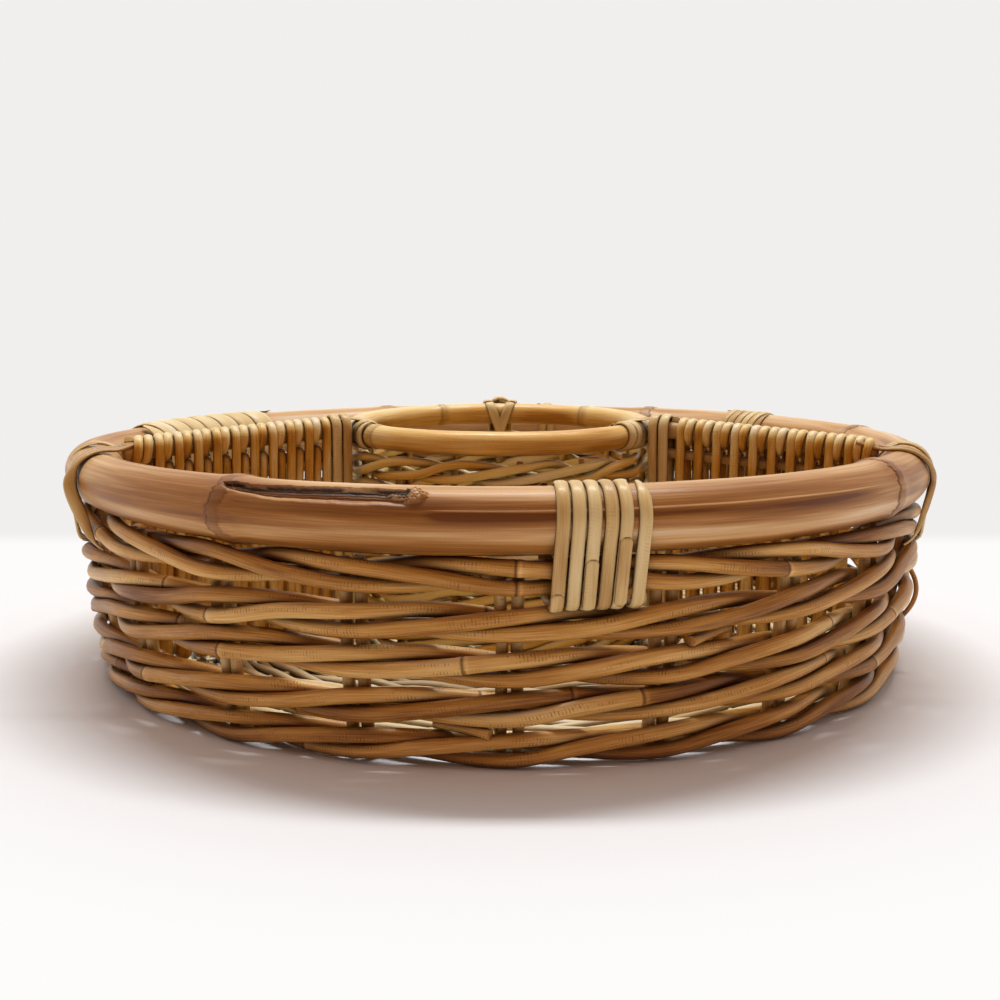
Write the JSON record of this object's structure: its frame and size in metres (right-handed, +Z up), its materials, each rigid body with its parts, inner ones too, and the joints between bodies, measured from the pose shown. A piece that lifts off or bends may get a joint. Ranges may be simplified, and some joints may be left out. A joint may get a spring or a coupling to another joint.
{
  "type": "woven snack tray",
  "caption": "Round wicker serving tray with a thick lashed pole rim, an open waled wall, a raised dip cup in the middle and reed-wrapped dividers",
  "frame": {"origin": "middle of the base on the table it stands on", "axes": "+Z up; -Y is the front, the side with the lashing nearest the viewer; +X to the viewer's right"},
  "size_m": [0.3782, 0.3817, 0.1087],
  "materials": {
    "rim_pole": "peeled rattan pole with natural skin, satin",
    "weaver": "round rattan rod with skin, smoked tan, satin",
    "stake": "round rattan core, tan",
    "base_mat": "woven natural rattan core, pale",
    "cup_pole": "thin rattan pole with golden skin, satin",
    "cup_weave": "woven rattan rod, tan",
    "divider_rod": "round rattan rod, tan",
    "reed": "half-round rattan reed, golden, satin",
    "peel": "flat rattan peel, pale straw, satin"
  },
  "bodies": {
    "root": {"outer_rim": "rim_pole", "wale_row_1_a": "weaver", "wale_row_1_b": "weaver", "wale_row_1_c": "weaver", "wale_row_2_a": "weaver", "wale_row_2_b": "weaver", "wale_row_2_c": "weaver", "wale_row_3_a": "weaver", "wale_row_3_b": "weaver", "wale_row_3_c": "weaver", "wale_row_4_a": "weaver", "wale_row_4_b": "weaver", "wale_row_4_c": "weaver", "wale_row_5_a": "weaver", "wale_row_5_b": "weaver", "wale_row_5_c": "weaver", "stake_pair_01": "stake", "stake_pair_02": "stake", "stake_pair_03": "stake", "stake_pair_04": "stake", "stake_pair_05": "stake", "stake_pair_06": "stake", "stake_pair_07": "stake", "stake_pair_08": "stake", "stake_pair_09": "stake", "stake_pair_10": "stake", "stake_pair_11": "stake", "stake_pair_12": "stake", "stake_pair_13": "stake", "stake_pair_14": "stake", "stake_pair_15": "stake", "stake_pair_16": "stake", "stake_pair_17": "stake", "stake_pair_18": "stake", "stake_pair_19": "stake", "stake_pair_20": "stake", "stake_pair_21": "stake", "base_mat": "base_mat", "cup_ring": "cup_pole", "cup_wall": "cup_weave", "divider_left_rod": "divider_rod", "divider_left_foot": "divider_rod", "divider_left_reed": "reed", "divider_right_rod": "divider_rod", "divider_right_foot": "divider_rod", "divider_right_reed": "reed", "divider_back_rod": "divider_rod", "divider_back_foot": "divider_rod", "divider_back_reed": "reed", "lashing_front": "peel", "lashing_back": "peel", "splice_binding": "peel", "lashing_left_end": "peel", "lashing_left_cup": "peel", "lashing_right_end": "peel", "lashing_right_cup": "peel", "lashing_back_end": "peel", "lashing_back_cup": "peel"}
  },
  "joints": []
}
